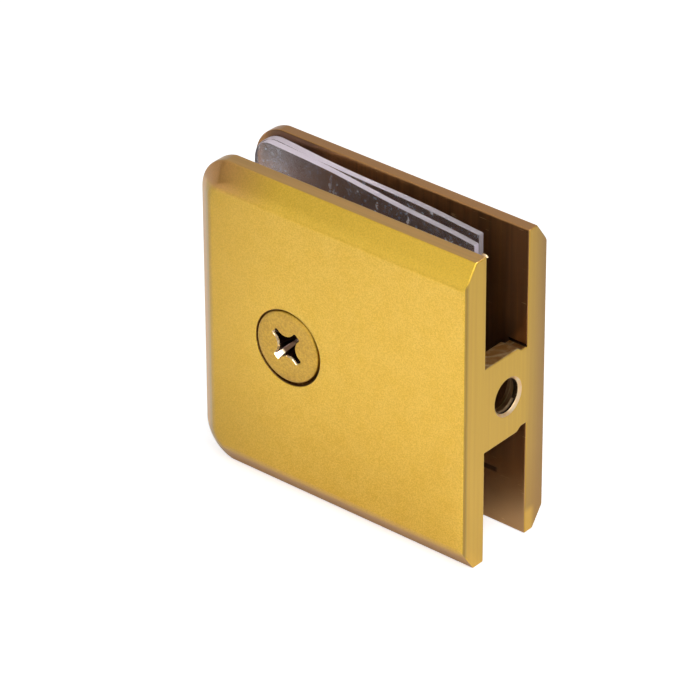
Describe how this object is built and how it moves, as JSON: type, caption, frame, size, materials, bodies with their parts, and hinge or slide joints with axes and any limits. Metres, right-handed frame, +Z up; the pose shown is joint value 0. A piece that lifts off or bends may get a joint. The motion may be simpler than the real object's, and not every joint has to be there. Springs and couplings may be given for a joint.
{
  "type": "glass panel clamp",
  "caption": "Square wall-to-glass clamp: bevelled front and rear plates joined by a web, a countersunk clamp screw and clear gasket sheets.",
  "frame": {"origin": "centre of the wall screw hole on the wall face", "axes": "+X out of the wall face, +Y from the front plate to the rear plate, +Z up along the wall"},
  "size_m": [0.0508, 0.0183, 0.0508],
  "materials": {
    "body": "satin gold-lacquered brass",
    "screw": "satin gold-plated screw",
    "gasket": "clear soft plastic sheet"
  },
  "bodies": {
    "clamp": {"body": "body", "gasket_front": "gasket", "gasket_rear": "gasket"},
    "screw": {"clamp_screw": "screw"}
  },
  "joints": [
    {"name": "screw_travel", "type": "slide", "parent": "clamp", "child": "screw", "axis": [0, -1, 0], "range_m": [0, 0.003]}
  ]
}
